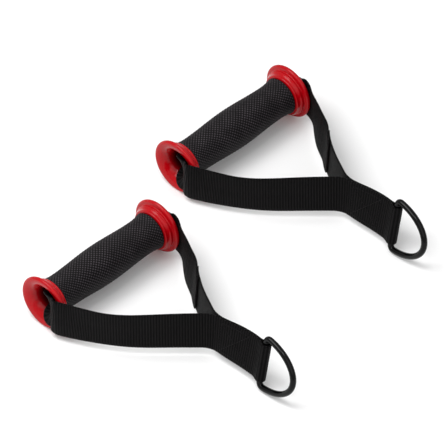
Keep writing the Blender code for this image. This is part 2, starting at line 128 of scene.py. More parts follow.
TAIL_LENGTH = 51.0 * MM
LOOP_RADIUS = 4.1 * MM
LOOP_NECK = 9.5 * MM
LOOP_ROUND_FROM = math.radians(-25.0)
LOOP_POINTS = 60

# Ring
WIRE_RADIUS = 2.85 * MM
RING_HALF_BAR = 25.0 * MM
RING_DEPTH = 39.5 * MM
RING_CORNER = 4.0 * MM
RING_SWING = math.radians(-7.0)
RING_SIDES = 28
BAR_POINTS, CORNER_POINTS, BOW_POINTS = 40, 10, 90

# Stitching
BOX_SIDE = 30.0 * MM
BOX_FROM_BAR = 34.0 * MM
STITCH_PITCH = 2.9 * MM
STITCH_LENGTH = 2.3 * MM
STITCH_WIDTH = 0.85 * MM
STITCH_FLATNESS = 0.4
STITCH_RINGS, STITCH_SIDES = 6, 8
BOX_THREAD_SINK = 0.12 * MM
DIMPLE_DEPTH = 0.22 * MM
DIMPLE_WIDTH = 0.9 * MM
DIMPLE_MARGIN = 1.0 * MM
LAP_STITCHES_AT = (5.0 * MM, 11.5 * MM)
LAP_STITCH_MARGIN = 3.5 * MM
LAP_THREAD_SINK = 0.08 * MM

# The strap's routes seen from above in the handle's frame, in millimetres.
LEFT_ROUTE = [
    (-60.0, -9.7), (-68.0, -10.3), (-73.4, -12.2), (-76.8, -16.2), (-77.0, -20.8),
    (-75.0, -26.4), (-70.6, -36.6), (-55.2, -66.2), (-45.1, -79.4), (-22.0, -102.8),
    (-3.0, -121.8), (3.3, -129.8), (5.2, -135.2),
]
RIGHT_ROUTE = [
    (60.0, -9.7), (68.0, -10.15), (73.0, -11.3), (75.6, -13.9), (75.8, -18.6), (73.6, -24.6),
    (62.5, -40.8), (50.1, -59.2), (41.9, -72.9), (34.9, -80.7), (29.2, -88.1),
]
LAP_ROUTE = [
    (43.0, -73.6), (35.95, -81.5), (30.7, -89.2), (22.7, -102.35), (12.7, -121.0),
    (8.6, -129.6), (7.3, -135.2),
]
# How far a leg's top leans towards +X, in degrees, at shares of its route.
LEFT_LEANS = [(0.0, 0.0), (0.25, 0.0), (0.42, -4.0), (0.62, 0.0), (1.0, 5.0)]
RIGHT_LEANS = [
    (0.0, 0.0), (0.25, 0.0), (0.34, -3.0), (0.46, 2.0), (0.57, 7.0), (0.68, 9.5), (0.82, 9.0),
    (0.91, 6.5), (1.0, 4.5),
]
LAP_LEANS = [(0.0, 8.0), (0.15, 6.3), (0.28, 4.5), (0.5, 3.0), (1.0, 5.0)]
# Degrees are shrunk by this while the curve is drawn, so that its length is that of the shares.
LEAN_SCALE = 0.001
LEAN_STEP = 0.01

# The tail: (millimetres from the bar, sideways bulge in millimetres, twist in degrees).
TAIL_SHAPE = [
    (-6.0, 0.0, 0.0), (0.0, 0.0, 0.0), (6.0, 0.5, 0.6), (14.0, 1.5, 1.3), (22.0, 1.8, 0.8),
    (30.0, 1.6, -0.4), (38.0, 0.9, -2.5), (45.0, 0.3, -5.0), (51.0, 0.0, -7.0),
]
TAIL_SHAPE_STEP = 0.5
# The place along the tail, in metres, of a stretch that isn't on it: far past any stitching.
OFF_TAIL = 1.0

# Round the lip a leg's edges bow, and the left leg dips: from LIP_FROM in y, in full between
# LIP_FULL and LIP_FALLS, and no more past LIP_LEFT.
LIP_BOW = 1.2 * MM
LIP_DIP = 1.4 * MM
LIP_FROM, LIP_FULL = -9.9 * MM, -20.0 * MM
LIP_FALLS, LIP_LEFT = -28.0 * MM, -50.0 * MM


# ---------------------------------------------------------------- meshes

def grid_faces(rows, columns, loop_rows, loop_columns):
    """Quads of a grid of rows by columns points, joined end to end where a loop is asked for."""
    index = np.arange(rows * columns).reshape(rows, columns)
    if loop_rows:
        index = np.concatenate([index, index[:1]])
    if loop_columns:
        index = np.concatenate([index, index[:, :1]], axis=1)
    corners = (index[:-1, :-1], index[:-1, 1:], index[1:, 1:], index[1:, :-1])
    return np.stack(corners, axis=-1).reshape(-1, 4)


def make_piece(name, points, faces, material, uv=None):
    """A smooth mesh object at the origin; uv gives each point its place on the material."""
    mesh = bpy.data.meshes.new(name)
    corners = faces if isinstance(faces, list) else faces.tolist()
    mesh.from_pydata(points.reshape(-1, 3).tolist(), [], corners)
    mesh.validate()
    if uv is not None:
        layer = mesh.uv_layers.new(name="UVMap")
        corner_point = np.zeros(len(mesh.loops), dtype=np.int32)
        mesh.loops.foreach_get("vertex_index", corner_point)
        layer.data.foreach_set("uv", uv.reshape(-1, 2)[corner_point].astype(np.float32).ravel())
    mesh.polygons.foreach_set("use_smooth", np.ones(len(mesh.polygons), dtype=bool))
    mesh.materials.append(material)
    mesh.update()
    piece = bpy.data.objects.new(name, mesh)
    bpy.context.scene.collection.objects.link(piece)
    return piece


def unit(vectors):
    """Vectors scaled to length 1 along the last axis."""
    return vectors / np.linalg.norm(vectors, axis=-1, keepdims=True)


def smooth_curve(corners, step):
    """A natural cubic through the corners, sampled about every step along its chord."""
    points = np.array(corners, dtype=float)
    chord = np.concatenate([[0.0], np.cumsum(np.linalg.norm(np.diff(points, axis=0), axis=1))])
    gap = np.diff(chord)
    count = len(points)
    system = np.eye(count)
    pull = np.zeros_like(points)
    inner = np.arange(1, count - 1)
    system[inner, inner - 1] = gap[:-1]
    system[inner, inner] = 2.0 * (gap[:-1] + gap[1:])
    system[inner, inner + 1] = gap[1:]
    slope = np.diff(points, axis=0) / gap[:, None]
    pull[1:-1] = 6.0 * np.diff(slope, axis=0)
    bend = np.linalg.solve(system, pull)
    where = np.linspace(0.0, chord[-1], max(int(chord[-1] / step), 8))
    span = np.clip(np.searchsorted(chord, where, side="right") - 1, 0, count - 2)
    width = gap[span][:, None]
    left = (chord[span + 1] - where)[:, None]
    right = (where - chord[span])[:, None]
    curve = (bend[span] * left ** 3 + bend[span + 1] * right ** 3) / (6.0 * width)
    curve += (points[span] / width - bend[span] * width / 6.0) * left
    return curve + (points[span + 1] / width - bend[span + 1] * width / 6.0) * right


def even_steps(line, step):
    """The line read again at even steps of its length: x, y and z, then any more columns."""
    hops = np.linalg.norm(np.diff(line[:, :3], axis=0), axis=1)
    length = np.concatenate([[0.0], np.cumsum(hops)])
    where = np.linspace(0.0, length[-1], int(length[-1] / step))
    return np.stack([np.interp(where, length, column) for column in line.T], axis=1), where


def smoothstep(low, high, value):
    """0 below low, 1 above high, an S-curve between."""
    t = np.clip((value - low) / (high - low), 0.0, 1.0)
    return t * t * (3.0 - 2.0 * t)


# ---------------------------------------------------------------- frames

class Handle:
    """One handle's places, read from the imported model."""

    def __init__(self, name):
        """The origin lies under the core tube's middle; the bar and the hinge are measured from it.

        The tail's Z is the bar's axis, its Y points level from the bar to the hinge, and its X is
        their cross product.
        """
        self.name = name
        low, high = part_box(name + "_core_tube")
        middle = (np.array(low) + np.array(high)) / 2.0
        self.axis_height = middle[2]
        self.origin = np.array((middle[0], middle[1], 0.0))
        joints = {joint["name"]: joint for joint in frame["joints"]}
        self.bar = np.array(joints[name + "_ring_swing"]["pos_m"]) - self.origin
        self.hinge = np.array(joints[name + "_tail_flex"]["pos_m"]) - self.origin
        back = self.hinge - self.bar
        back[2] = 0.0
        self.tail_y = unit(back)
        self.tail_z = unit(np.array(joints[name + "_ring_swing"]["axis"]))
        self.tail_x = np.cross(self.tail_y, self.tail_z)

    def body(self, part):
        """The name of one of the handle's bodies."""
        return self.name + "_" + part

    def to_row(self, points):
        """Points of the handle's frame in the row's frame."""
        return points + self.origin

    def tail_to_handle(self, points):
        """Points of the tail's frame in the handle's frame."""
        axes = np.stack([self.tail_x, self.tail_y, self.tail_z])
        return points @ axes + self.bar


# ---------------------------------------------------------------- grip

def sleeve_radius(along):
    """Barrel falling as a squared cosine to the neck, then a parabola out to the flare."""
    neck_at = SLEEVE_HALF - NECK_FROM_END
    swell = np.cos(np.pi / 2.0 * np.clip(np.abs(along) / neck_at, 0.0, 1.0)) ** 2
    flare = np.clip((np.abs(along) - neck_at) / NECK_FROM_END, 0.0, 1.0) ** 2
    return NECK_RADIUS + (BARREL_RADIUS - NECK_RADIUS) * swell + (FLARE_RADIUS - NECK_RADIUS) * flare


def build_sleeve(handle, material):
    """The rubber sleeve: sleeve_radius spun round the grip, with a diamond knurl.

    The knurl's height is the square root of the product of two raised cosines, whose crests
    wind round the sleeve in opposite helices, and it fades out at both ends. The edges are
    quarter circles, and the ends close onto the bore.
    """
    along = np.linspace(-SLEEVE_HALF, SLEEVE_HALF, SLEEVE_ROWS)
    around = np.linspace(0.0, 2.0 * np.pi, SLEEVE_COLUMNS, endpoint=False)
    u, angle = np.meshgrid(along, around, indexing="ij")
    turns = angle * KNURL_ROUND / (2.0 * np.pi)
    lengths = u / KNURL_LENGTH_PITCH
    first = 0.5 + 0.5 * np.cos(2.0 * np.pi * (lengths + turns))
    second = 0.5 + 0.5 * np.cos(2.0 * np.pi * (lengths - turns))
    fade = smoothstep(SLEEVE_HALF, SLEEVE_HALF - KNURL_FADE, np.abs(u))
    crest = np.sqrt(first * second) * fade
    radius = sleeve_radius(u) + KNURL_HEIGHT * (crest - KNURL_SUNK_SHARE * fade)
    rounding = np.clip((np.abs(u) - SLEEVE_HALF + SLEEVE_EDGE) / SLEEVE_EDGE, 0.0, 1.0)
    radius = radius - SLEEVE_EDGE * (1.0 - np.sqrt(np.clip(1.0 - rounding ** 2, 0.0, 1.0)))
    bore_x = np.array([SLEEVE_HALF, -SLEEVE_HALF])
    x = np.concatenate([u, np.repeat(bore_x[:, None], len(around), axis=1)])
    r = np.concatenate([radius, np.full((2, len(around)), SLEEVE_BORE)])
    turn = np.concatenate([angle, angle[:2]])
    points = np.stack([x, r * np.cos(turn), handle.axis_height + r * np.sin(turn)], axis=-1)
    faces = grid_faces(len(x), len(around), True, True)
    uv = np.stack([x, turn * BARREL_RADIUS], axis=-1)
    piece = make_piece(handle.name + "_rubber_grip", handle.to_row(points), faces, material, uv)
    mark = piece.data.attributes.new("crest", "FLOAT", "POINT")
    mark.data.foreach_set("value", np.concatenate([crest, 0.0 * crest[:2]]).ravel())
    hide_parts(handle.name + "_grip_sleeve")
    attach(piece, handle.body("grip"))


def arc(centre, radius, start, end, count):
    """Points of a circular arc between two angles in degrees."""
    angle = np.radians(np.linspace(start, end, count))
    return np.stack([centre[0] + radius * np.cos(angle), centre[1] + radius * np.sin(angle)], axis=1)


def flange_outline():
    """The flange's section as (radius, depth below the lip's face), closed.

    It runs over the rounded lip, down the smooth back to one thin bead, along the collar and
    the spigot, and back up the bore and the funnel, which is a quarter of an ellipse.
    """
    lip = arc((LIP_RADIUS - LIP_ROUND, -LIP_ROUND), LIP_ROUND, 90.0, -75.0, 25)
    groove = arc(*GROOVE, 100.0, 180.0, 6)
    bead = arc(*BEAD, 60.0, -60.0, 12)
    collar = arc(*COLLAR, 35.0, -75.0, 12)
    spigot = np.array([
        (COLLAR_FOOT, -COLLAR_BACK), (SPIGOT_RADIUS, -COLLAR_BACK),
        (SPIGOT_RADIUS, -SPIGOT_END), (BORE_RADIUS, -SPIGOT_END),
    ])
    angle = np.radians(np.linspace(0.0, FUNNEL_SWEEP, FUNNEL_POINTS))
    funnel = np.stack([BORE_RADIUS + (MOUTH_RADIUS - BORE_RADIUS) * (1.0 - np.cos(angle)),
                       -FUNNEL_LENGTH * (1.0 - np.sin(angle))], axis=1)
    return np.concatenate([lip, groove, bead, collar, spigot, funnel])


def build_flange(handle, side, material):
    """A trumpet flange: its closed outline spun round the grip's axis.

    The attribute stored here is 0 outside and rises as an S-curve down the funnel: painted shade, for the
    finish to darken the funnel's colour.
    """
    sign = -1.0 if side == "left" else 1.0
    outline = flange_outline()
    around = np.linspace(0.0, 2.0 * np.pi, FLANGE_COLUMNS, endpoint=False)
    radius, angle = np.meshgrid(outline[:, 0], around, indexing="ij")
    depth = np.repeat(outline[:, 1:], len(around), axis=1)
    points = np.stack([sign * (LIP_END + depth), radius * np.cos(angle),
                       handle.axis_height + radius * np.sin(angle)], axis=-1)
    faces = grid_faces(len(outline), len(around), True, True)
    if sign > 0:
        faces = faces[:, ::-1]
    piece = make_piece(handle.name + "_" + side + "_trumpet", handle.to_row(points), faces, material)
    inner = np.arange(len(outline)) >= len(outline) - FUNNEL_POINTS
    # Painted shade: the funnel's colour darkens with depth, standing in for the shade inside it.
    painted_funnel_shade = inner * smoothstep(FUNNEL_SHADE_FROM, FUNNEL_SHADE_FULL, outline[:, 1])
    mark = piece.data.attributes.new("painted_funnel_shade", "FLOAT", "POINT")
    mark.data.foreach_set("value", np.repeat(painted_funnel_shade, len(around)))
    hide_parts(handle.name + "_" + side + "_flange")
    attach(piece, handle.body("grip"))


# ---------------------------------------------------------------- strap

def strap_section(columns):
    """One face of the strap: places across it from -1 to 1, crowded at the edges, and its height.

    The height is 1 on the flat and falls as a quarter of a circle to SELVEDGE_SHARE at each edge.
    """
    crowded = np.sin(np.linspace(-np.pi / 2.0, np.pi / 2.0, columns))
    across = np.linspace(-1.0, 1.0, columns) * (1.0 - EDGE_CROWDING) + crowded * EDGE_CROWDING
    edge = WEB_THICKNESS / WEB_WIDTH
    over_edge = np.clip(np.abs(across) - 1.0 + edge, 0.0, 1.0) / edge
    height = np.sqrt(np.clip(1.0 - over_edge ** 2, 0.0, 1.0))
    return across, SELVEDGE_SHARE + (1.0 - SELVEDGE_SHARE) * height


def lay_strap(name, line, handle, material):
    """A strap laid along a line.

    Each row of the line is x, y, z, lean, curl, bow and place along the tail. The section stands
    across the line, its width upright and leaning by lean. Where curl isn't nought, the width is
    bent to a circle of curvature curl, and bow moves it sideways by the square of the share from
    its middle. Ribs run across the width: the face's height gains a rounded wave of the length
    along the strap, and the reverse the same wave half a pitch on. The warp is a fine cosine
    wave across the width, and the corners of the line's far end are quarter circles.
    """
    line, along = even_steps(line, STRAP_STEP)
    centre = line[:, :3]
    lean, curl, bow, tail_place = line[:, 3:].T
    ahead = unit(np.gradient(centre, axis=0))
    up = np.stack([np.sin(lean), np.zeros_like(lean), np.cos(lean)], axis=1)
    up = unit(up - ahead * (up * ahead).sum(1, keepdims=True))
    normal = np.cross(ahead, up)
    across, thick = strap_section(STRAP_COLUMNS)
    across = np.concatenate([across, across[::-1]]) * WEB_WIDTH / 2.0
    facing = np.concatenate([np.ones(STRAP_COLUMNS), -np.ones(STRAP_COLUMNS)])
    thick = np.concatenate([thick, thick[::-1]])
    s, a = np.meshgrid(along, across, indexing="ij")
    wave = np.abs(np.sin(np.pi * (s / RIB_PITCH + 0.25 * (1.0 - facing)[None, :])))
    rib = RIB_HEIGHT * (wave ** RIB_ROUNDNESS - 1.0)
    off_selvedge = smoothstep(WEB_WIDTH / 2.0, WEB_WIDTH / 2.0 - SELVEDGE_BAND, np.abs(a))
    warp = WARP_HEIGHT * np.cos(2.0 * np.pi * a / WARP_PITCH) * off_selvedge
    lift = facing[None, :] * (WEB_THICKNESS / 2.0 * thick[None, :] + rib * thick[None, :] + warp)
    lift = lift - facing[None, :] * stitch_dimple(tail_place[:, None], a)
    lift = lift + bow[:, None] * (2.0 * a / WEB_WIDTH) ** 2
    bend = np.where(np.abs(curl) > NEARLY_FLAT, curl, NEARLY_FLAT)[:, None]
    reach = np.sin(bend * a) * (1.0 / bend - lift)
    sag = 1.0 / bend - (1.0 / bend - lift) * np.cos(bend * a)
    points = centre[:, None] + up[:, None] * reach[..., None] + normal[:, None] * sag[..., None]
    beyond = np.clip(np.abs(a) - WEB_WIDTH / 2.0 + END_ROUND, 0.0, END_ROUND)
    retreat = END_ROUND - np.sqrt(END_ROUND ** 2 - beyond ** 2)
    retreat = retreat * smoothstep(along[-1] - END_ROUND_REACH, along[-1], s)
    points = points - ahead[:, None] * retreat[..., None]
    rows, columns = s.shape
    index = np.arange(rows * columns).reshape(rows, columns)
    faces = [grid_faces(rows, columns, False, True)[:, ::-1]]
    half = columns // 2
    for row, turned in ((0, True), (rows - 1, False)):
        face, reverse = index[row, :half], index[row, ::-1][:half]
        cap = np.stack([face[:-1], face[1:], reverse[1:], reverse[:-1]], axis=1)
        faces.append(cap if turned else cap[:, ::-1])
    uv = np.stack([s, a], axis=-1)
    return make_piece(name, handle.to_row(points), np.concatenate(faces), material, uv)


def stitch_dimple(tail_place, across):
    """How far the box stitching pulls the webbing in: a bell curve of the gap to the thread."""
    y = tail_place - BOX_FROM_BAR
    half = BOX_SIDE / 2.0
    inside = (np.abs(y) < half + DIMPLE_MARGIN) & (np.abs(across) < half + DIMPLE_MARGIN)
    frame_gap = np.minimum(np.abs(np.abs(y) - half), np.abs(np.abs(across) - half))
    cross_gap = np.abs(np.abs(y) - np.abs(across)) / math.sqrt(2.0)
    gap = np.minimum(frame_gap, cross_gap)
    return np.where(inside, DIMPLE_DEPTH * np.exp(-((gap / DIMPLE_WIDTH) ** 2)), 0.0)


def tube_curl(x):
    """The strap's curvature: the tube's in the tube, opening through the funnel to flat."""
    opened = np.clip((np.abs(x) - CURL_FROM) / (CURL_END - CURL_FROM), 0.0, 1.0)
    return (1.0 - opened ** CURL_OPENING) / WEB_TUBE_RADIUS


def leg_rows(handle, route, leans, bow_side):
    """The line of one leg as lay_strap reads it.

    The height rises evenly to the bar's, and the leans are read at shares of the route. A leg
    that leaves the tube has a bow_side: round the lip its edges bow by LIP_BOW to that side, and
    the left leg dips by LIP_DIP.
    """
    flat = smooth_curve(np.array(route) * MM, STRAP_STEP)
    hops = np.linalg.norm(np.diff(flat, axis=0), axis=1)
    away = np.concatenate([[0.0], np.cumsum(hops)])
    share = away / away[-1]
    height = handle.axis_height + (handle.bar[2] - handle.axis_height) * share
    shares, leaning = smooth_curve(np.array(leans) * (1.0, LEAN_SCALE), LEAN_STEP).T
    lean = np.radians(np.interp(share, shares, leaning / LEAN_SCALE))
    curl, bow = np.zeros_like(share), np.zeros_like(share)
    if bow_side:
        y = flat[:, 1]
        curl = np.where(y > -CURL_WITHIN_TUBE_RADII * WEB_TUBE_RADIUS, tube_curl(flat[:, 0]), 0.0)
        round_lip = smoothstep(LIP_FROM, LIP_FULL, y) * smoothstep(LIP_LEFT, LIP_FALLS, y)
        bow = bow_side * LIP_BOW * round_lip
        height = height - max(-bow_side, 0.0) * LIP_DIP * round_lip
    off_tail = np.full_like(share, OFF_TAIL)
    return np.stack([flat[:, 0], flat[:, 1], height, lean, curl, bow, off_tail], axis=1)


def tube_rows(handle, start, end):
    """The strap's straight line inside the tube between two places on the grip's axis."""
    x = np.linspace(start, end, TUBE_STRAP_POINTS)
    y = np.full_like(x, -WEB_TUBE_RADIUS)
    z = np.full_like(x, handle.axis_height)
    none = np.zeros_like(x)
    off_tail = np.full_like(x, OFF_TAIL)
    return np.stack([x, y, z, none, tube_curl(x), none, off_tail], axis=1)


def tail_bend(place):
    """The tail's sideways bulge and twist, read from the smooth curve through TAIL_SHAPE."""
    dense = smooth_curve(TAIL_SHAPE, TAIL_SHAPE_STEP)
    bulge = np.interp(place, dense[:, 0] * MM, dense[:, 1] * MM)
    return bulge, np.radians(np.interp(place, dense[:, 0] * MM, dense[:, 2]))


def shape_tail(points):
    """Points of the tail's frame turned about its length by the twist, then moved by the bulge."""
    bulge, twist = tail_bend(points[:, 1])
    x = points[:, 0] * np.cos(twist) + points[:, 2] * np.sin(twist) + bulge
    z = points[:, 2] * np.cos(twist) - points[:, 0] * np.sin(twist)
    return np.stack([x, points[:, 1], z], axis=1)


def loop_rows(handle):
    """The tail's left ply, the loop round the bar and the right ply, in the handle's frame.

    In the tail's frame the ply runs down to the neck, a cubic opens onto a circle round the bar,
    and the circle runs to the bar's far side. The other half mirrors it.
    """
    start = np.array((-PLY_OFFSET, LOOP_NECK))
    touch = -LOOP_RADIUS * np.array((math.cos(LOOP_ROUND_FROM), math.sin(LOOP_ROUND_FROM)))
    pull = np.linalg.norm(start - touch)
    leave = np.array((0.0, -1.0)) * pull
    arrive = np.array((math.sin(LOOP_ROUND_FROM), -math.cos(LOOP_ROUND_FROM))) * pull
    t = np.linspace(0.0, 1.0, LOOP_POINTS)[:, None]
    neck = start * (2 * t ** 3 - 3 * t ** 2 + 1) + leave * (t ** 3 - 2 * t ** 2 + t)
    neck += touch * (3 * t ** 2 - 2 * t ** 3) + arrive * (t ** 3 - t ** 2)
    turn = np.linspace(LOOP_ROUND_FROM, math.pi / 2.0, LOOP_POINTS)[1:]
    circle = -LOOP_RADIUS * np.stack([np.cos(turn), np.sin(turn)], axis=1)
    down = np.linspace(TAIL_LENGTH, LOOP_NECK, LOOP_POINTS)
    ply = np.stack([np.full_like(down, -PLY_OFFSET), down], axis=1)
    half = np.concatenate([ply, neck[1:], circle])
    flat = np.concatenate([half, half[-2::-1] * (-1.0, 1.0)])
    points = handle.tail_to_handle(shape_tail(np.insert(flat, 2, 0.0, axis=1)))
    lean = math.asin(handle.tail_z[0]) + tail_bend(flat[:, 1])[1]
    none = np.zeros_like(lean)
    extra = np.stack([lean, none, none, flat[:, 1]], axis=1)
    return np.concatenate([points, extra], axis=1)


def build_straps(handle, material):
    """The continuous webbing in two lengths whose ends meet unseen in the tube."""
    tail = loop_rows(handle)
    left = leg_rows(handle, LEFT_ROUTE, LEFT_LEANS, -1.0)
    lap = leg_rows(handle, LAP_ROUTE, LAP_LEANS, 0.0)
    inside = tube_rows(handle, TUBE_STRAP_GAP, -TUBE_STRAP_REACH)
    line = np.concatenate([inside, left, tail, lap[::-1]])
    piece = lay_strap(handle.name + "_strap", line, handle, material)
    names = ["left_leg", "lap_leg", "tail_left_ply", "tail_right_ply", "ring_loop"]
    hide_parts(*[handle.name + "_" + part for part in names])
    handle.body("yoke")
    handle.body("tail")
    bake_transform(piece)

    inside = tube_rows(handle, -TUBE_STRAP_GAP, TUBE_STRAP_REACH)
    right = leg_rows(handle, RIGHT_ROUTE, RIGHT_LEANS, 1.0)
    line = np.concatenate([inside, right])
    line[:, 4] *= -1.0
    piece = lay_strap(handle.name + "_strap_end", line, handle, material)
    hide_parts(handle.name + "_right_leg", handle.name + "_tube_webbing")
    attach(piece, handle.body("yoke"))


# ---------------------------------------------------------------- stitching

def stitch_line(start, end):
    """The two ends of each stitch along a straight run."""
    start, end = np.array(start, dtype=float), np.array(end, dtype=float)
    count = int(np.linalg.norm(end - start) / STITCH_PITCH)
    gap = (1.0 - STITCH_LENGTH / STITCH_PITCH) / 2.0
    first = (np.arange(count)[:, None] + gap) / count
    last = (np.arange(count)[:, None] + 1.0 - gap) / count
    return start + (end - start) * first, start + (end - start) * last


def sew(name, starts, ends, normals, handle, material):
    """Stitches: each a flattened bar of thread with rounded ends, dipping in at both ends.

    A stitch is STITCH_RINGS rings of STITCH_SIDES points, whose radius is a fattened half circle
    along the stitch, and its ends are closed by flat faces.
    """
    rings, sides = STITCH_RINGS, STITCH_SIDES
    ways = unit(ends - starts)
    across = unit(np.cross(normals, ways))
    along = np.cos(np.linspace(np.pi, 0.0, rings))
    swell = np.sqrt(1.0 - (along * 0.93) ** 2) ** 0.7
    angle = np.linspace(0.0, 2.0 * np.pi, sides, endpoint=False)
    reach = np.repeat(along[:, None], sides, axis=1)[None, ..., None] / 2.0
    wide = (swell[:, None] * np.cos(angle))[None, ..., None] * STITCH_WIDTH / 2.0
    high = (swell[:, None] * np.sin(angle))[None, ..., None] * STITCH_WIDTH * STITCH_FLATNESS
    middles = ((starts + ends) / 2.0)[:, None, None]
    points = middles + (ends - starts)[:, None, None] * reach
    points = points + across[:, None, None] * wide + normals[:, None, None] * high
    one = grid_faces(rings, sides, False, True)
    shift = np.arange(len(starts))[:, None, None] * rings * sides
    quads = (one[None] + shift).reshape(-1, 4)
    first = np.arange(sides)[None, ::-1] + shift[:, 0]
    last = (rings - 1) * sides + np.arange(sides)[None] + shift[:, 0]
    faces = quads.tolist() + first.tolist() + last.tolist()
    places = np.concatenate([reach * STITCH_LENGTH, wide], axis=-1)
    uv = np.broadcast_to(places, (len(starts), rings, sides, 2))
    return make_piece(name, handle.to_row(points), faces, material, uv)


def build_box_stitches(handle, material):
    """A square of stitches with both diagonals on each face of the tail."""
    half = BOX_SIDE / 2.0
    low, high = BOX_FROM_BAR - half, BOX_FROM_BAR + half
    runs = [
        ((low, -half), (high, -half)), ((high, -half), (high, half)), ((high, half), (low, half)),
        ((low, half), (low, -half)), ((low, -half), (high, half)), ((low, half), (high, -half)),
    ]
    pairs = [stitch_line(start, end) for start, end in runs]
    starts, ends = (np.concatenate(side) for side in zip(*pairs))
    for side, sign in (("left", -1.0), ("right", 1.0)):
        face = sign * (PLY_OFFSET + WEB_THICKNESS / 2.0 - BOX_THREAD_SINK)
        tips = [np.insert(tip, 0, face, axis=1) for tip in (starts, ends)]
        placed = [handle.tail_to_handle(shape_tail(tip)) for tip in tips]
        outward = handle.tail_to_handle(shape_tail(tips[0] + (sign * MM, 0.0, 0.0))) - placed[0]
        name = handle.name + "_box_thread_" + side
        piece = sew(name, placed[0], placed[1], unit(outward), handle, material)
        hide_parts(handle.name + "_box_stitch_" + side)
        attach(piece, handle.body("tail"))


def build_lap_stitches(handle, material):
    """Two rows of stitches across the lapped strap, on its outer face."""
    rows = leg_rows(handle, LAP_ROUTE, LAP_LEANS, 0.0)
    starts, ends, normals = [], [], []
    for place in LAP_STITCHES_AT:
        at = int(place / STRAP_STEP)
        ahead = unit(rows[at + 4, :3] - rows[at - 4, :3])
        up = np.array((math.sin(rows[at, 3]), 0.0, math.cos(rows[at, 3])))
        up = unit(up - ahead * (up @ ahead))
        outward = np.cross(up, ahead)
        spot = rows[at, :3] + outward * (WEB_THICKNESS / 2.0 - LAP_THREAD_SINK)
        reach = up * (WEB_WIDTH / 2.0 - LAP_STITCH_MARGIN)
        first, last = stitch_line(spot - reach, spot + reach)
        starts.append(first)
        ends.append(last)
        normals.append(np.repeat(outward[None], len(first), axis=0))
    starts, ends, normals = (np.concatenate(part) for part in (starts, ends, normals))
    piece = sew(handle.name + "_lap_thread", starts, ends, normals, handle, material)
    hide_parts(handle.name + "_lap_stitch")
    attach(piece, handle.body("yoke"))


# ---------------------------------------------------------------- ring

def build_ring(handle, material):
    """The D-ring: a round wire along its bar, two corner arcs and a half ellipse."""
    meet = math.asin(RING_CORNER / RING_DEPTH)
    top = RING_HALF_BAR * math.cos(meet)
    bar_top = top - RING_CORNER
    corner = arc((0.0, 0.0), RING_CORNER, 180.0, 90.0, CORNER_POINTS)[1:-1]
    upper = np.stack([-(corner[:, 0] + RING_CORNER), corner[:, 1] + bar_top], axis=1)
    turn = np.linspace(meet, math.pi - meet, BOW_POINTS)
    bow = np.stack([-RING_DEPTH * np.sin(turn), RING_HALF_BAR * np.cos(turn)], axis=1)
    lower = upper[::-1] * (1.0, -1.0)
    bar = np.stack([np.zeros(BAR_POINTS), np.linspace(-bar_top, bar_top, BAR_POINTS)], axis=1)
    outline = np.concatenate([bar, upper, bow, lower])
    centre = np.stack([np.zeros(len(outline)), outline[:, 0], outline[:, 1]], axis=1)
    ahead = unit(np.roll(centre, -1, axis=0) - np.roll(centre, 1, axis=0))
    across = np.broadcast_to(np.array((1.0, 0.0, 0.0)), ahead.shape)
    out = np.cross(ahead, across)
    angle = np.linspace(0.0, 2.0 * np.pi, RING_SIDES, endpoint=False)[None, :, None]
    spoke = across[:, None] * np.cos(angle) + out[:, None] * np.sin(angle)
    points = centre[:, None] + WIRE_RADIUS * spoke
    cos, sin = math.cos(RING_SWING), math.sin(RING_SWING)
    swing = np.array(((cos, sin, 0.0), (-sin, cos, 0.0), (0.0, 0.0, 1.0)))
    points = handle.tail_to_handle(points @ swing)
    faces = grid_faces(len(centre), RING_SIDES, True, True)
    piece = make_piece(handle.name + "_ring_wire", handle.to_row(points), faces, material)
    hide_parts(handle.name + "_d_ring")
    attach(piece, handle.body("ring"))


# ---------------------------------------------------------------- materials

def new_group(name, inputs, outputs):
    """A shader node group with named sockets; inputs and outputs are (name, socket type)."""
    group = bpy.data.node_groups.new(name, "ShaderNodeTree")
    for label, kind in inputs:
        group.interface.new_socket(label, in_out="INPUT", socket_type=kind)
    for label, kind in outputs:
        group.interface.new_socket(label, in_out="OUTPUT", socket_type=kind)
    start = group.nodes.new("NodeGroupInput")
    end = group.nodes.new("NodeGroupOutput")
    return group, start, end


def maths(tree, operation, first, second=None, clamp=False):
    """A Math node on sockets or numbers; returns its output."""
    node = tree.nodes.new("ShaderNodeMath")
    node.operation = operation
    node.use_clamp = clamp
    for socket, value in zip(node.inputs, (first, second)):
        if value is None:
            continue
        if isinstance(value, (int, float)):
            socket.default_value = value
        else:
            tree.links.new(value, socket)
    return node.outputs[0]


def grain_group():
    """Grain: fine noise over broad noise, as a mask round 0.5 and a height."""
    group, start, end = new_group(
        "surface_grain",
        [("Vector", "NodeSocketVector"), ("Fine Scale", "NodeSocketFloat"),
         ("Broad Scale", "NodeSocketFloat")],
        [("Mask", "NodeSocketFloat"), ("Height", "NodeSocketFloat")],
    )
    noises = []
    for label, detail in (("Fine Scale", 4.0), ("Broad Scale", 3.0)):
        noise = group.nodes.new("ShaderNodeTexNoise")
        noise.inputs["Detail"].default_value = detail
        group.links.new(start.outputs["Vector"], noise.inputs["Vector"])
        group.links.new(start.outputs[label], noise.inputs["Scale"])
        noises.append(noise.outputs[0])
    fine = maths(group, "MULTIPLY", noises[0], 0.45)
    broad = maths(group, "MULTIPLY", noises[1], 0.55)
    mixed = maths(group, "ADD", fine, broad)
    group.links.new(mixed, end.inputs["Mask"])
    group.links.new(noises[0], end.inputs["Height"])
    return group


